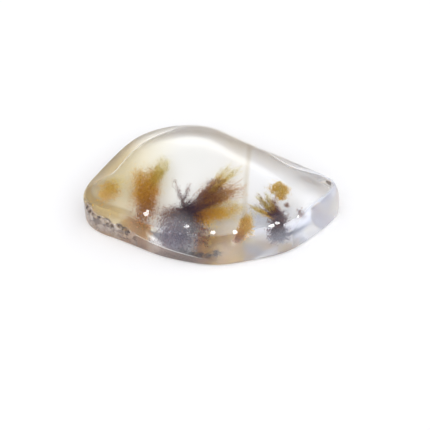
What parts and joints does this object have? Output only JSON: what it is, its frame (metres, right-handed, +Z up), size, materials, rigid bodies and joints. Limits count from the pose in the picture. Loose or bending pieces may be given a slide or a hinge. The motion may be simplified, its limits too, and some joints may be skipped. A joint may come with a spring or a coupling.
{
  "type": "dendritic agate cabochon",
  "caption": "Loose polished freeform cabochon of clear chalcedony with gold, brown and violet moss-like dendrites inside, flat underneath.",
  "frame": {"origin": "middle of the stone's extents, on the plane of its flat base", "axes": "+X along the stone's length, towards the clear tip; +Z up, out of the domed top; +Y towards the edge that lies away from the viewer"},
  "size_m": [0.0298, 0.0192, 0.0052],
  "materials": {
    "polished_chalcedony": "high polish, see-through, with rough natural pits along the left front edge",
    "dendrites": "iron and manganese oxide growths sealed in the stone"
  },
  "bodies": {
    "root": {"agate_base": "polished_chalcedony", "agate_dome": "polished_chalcedony", "tip_plume": "dendrites", "amber_plume": "dendrites", "violet_dendrite": "dendrites", "flower_dendrite": "dendrites", "small_sprig": "dendrites"}
  },
  "joints": []
}
